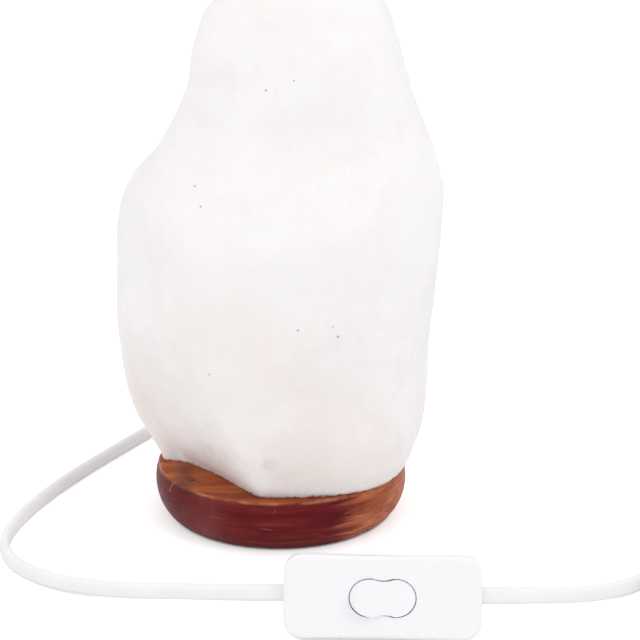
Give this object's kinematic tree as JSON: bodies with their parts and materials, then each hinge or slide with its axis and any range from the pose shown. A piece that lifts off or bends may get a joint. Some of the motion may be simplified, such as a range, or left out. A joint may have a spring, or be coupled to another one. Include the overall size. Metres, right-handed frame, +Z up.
{
  "type": "salt crystal lamp",
  "caption": "Table lamp of a hewn rock-salt block on a turned wooden base, with a bulb in its bore, a flat lead, an in-line rocker switch and a moulded plug.",
  "frame": {"origin": "on the table under the middle of the lamp", "axes": "+X right, +Y to the back where the lead leaves the base, +Z up"},
  "size_m": [0.3153, 0.2665, 0.206],
  "materials": {
    "salt": "hewn, matt, slightly translucent",
    "wood": "stained and lacquered, semi-gloss, worn edges",
    "white_plastic": "moulded, semi-gloss white",
    "cord_white": "smooth white PVC sheath",
    "holder_plastic": "moulded thermoset",
    "brass": "plain",
    "nickel": "nickel plated",
    "steel": "zinc plated",
    "clear_glass": "clear",
    "black_glass": "fused black glass",
    "filament": "drawn tungsten",
    "core_brown": "brown core insulation",
    "core_blue": "blue core insulation",
    "feet": "soft pads",
    "sleeve_black": "moulded insulating sleeve"
  },
  "bodies": {
    "lamp": {"salt_crystal": "salt", "wooden_base": "wood", "base_feet": "feet", "base_screws": "steel", "screw_plugs": "holder_plastic", "cord_inside": "cord_white", "cord_saddle": "white_plastic", "cord_saddle_screws": "steel", "holder_cap": "holder_plastic", "holder_body": "holder_plastic", "holder_shell": "nickel", "holder_centre_contact": "brass", "holder_terminals": "brass", "holder_terminal_screws": "steel", "holder_wires": "core_brown", "holder_spring_clips": "steel", "bulb_cap": "nickel", "bulb_insulator": "black_glass", "bulb_contact": "nickel", "bulb_glass": "clear_glass", "bulb_stem": "clear_glass", "bulb_lead_wires": "nickel", "bulb_filament": "filament", "cord_to_switch": "cord_white", "switch_front_shell": "white_plastic", "switch_rear_shell": "white_plastic", "switch_pivot_terminal": "brass", "switch_fixed_terminal": "brass", "switch_terminal_screws": "steel", "switch_live_wires": "core_brown", "switch_neutral_wire": "core_blue", "switch_cord_clamps": "holder_plastic", "switch_clamp_screws": "steel", "switch_case_screws": "steel", "cord_to_coil": "cord_white", "cord_coil": "cord_white", "coil_tie": "white_plastic", "cord_tail": "cord_white", "plug_body": "white_plastic", "plug_pins": "nickel", "plug_pin_sleeves": "sleeve_black"},
    "rocker": {"switch_rocker": "white_plastic", "switch_plunger": "holder_plastic", "switch_spring": "steel"},
    "contact_lever": {"switch_contact_lever": "brass"}
  },
  "joints": [
    {"name": "rocker_pivot", "type": "hinge", "parent": "lamp", "child": "rocker", "pos_m": [0.03408, -0.10709, 0.01382], "axis": [-0.009, -0.2587, -0.9659], "range_deg": [0, 18]},
    {"name": "contact_lever_pivot", "type": "hinge", "parent": "lamp", "child": "contact_lever", "pos_m": [0.03435, -0.09956, 0.0118], "axis": [0.009, 0.2587, 0.9659], "range_deg": [0, 14]}
  ],
  "couplings": [
    {"joint": "contact_lever_pivot", "follows": "rocker_pivot", "ratio": 0.77778}
  ]
}
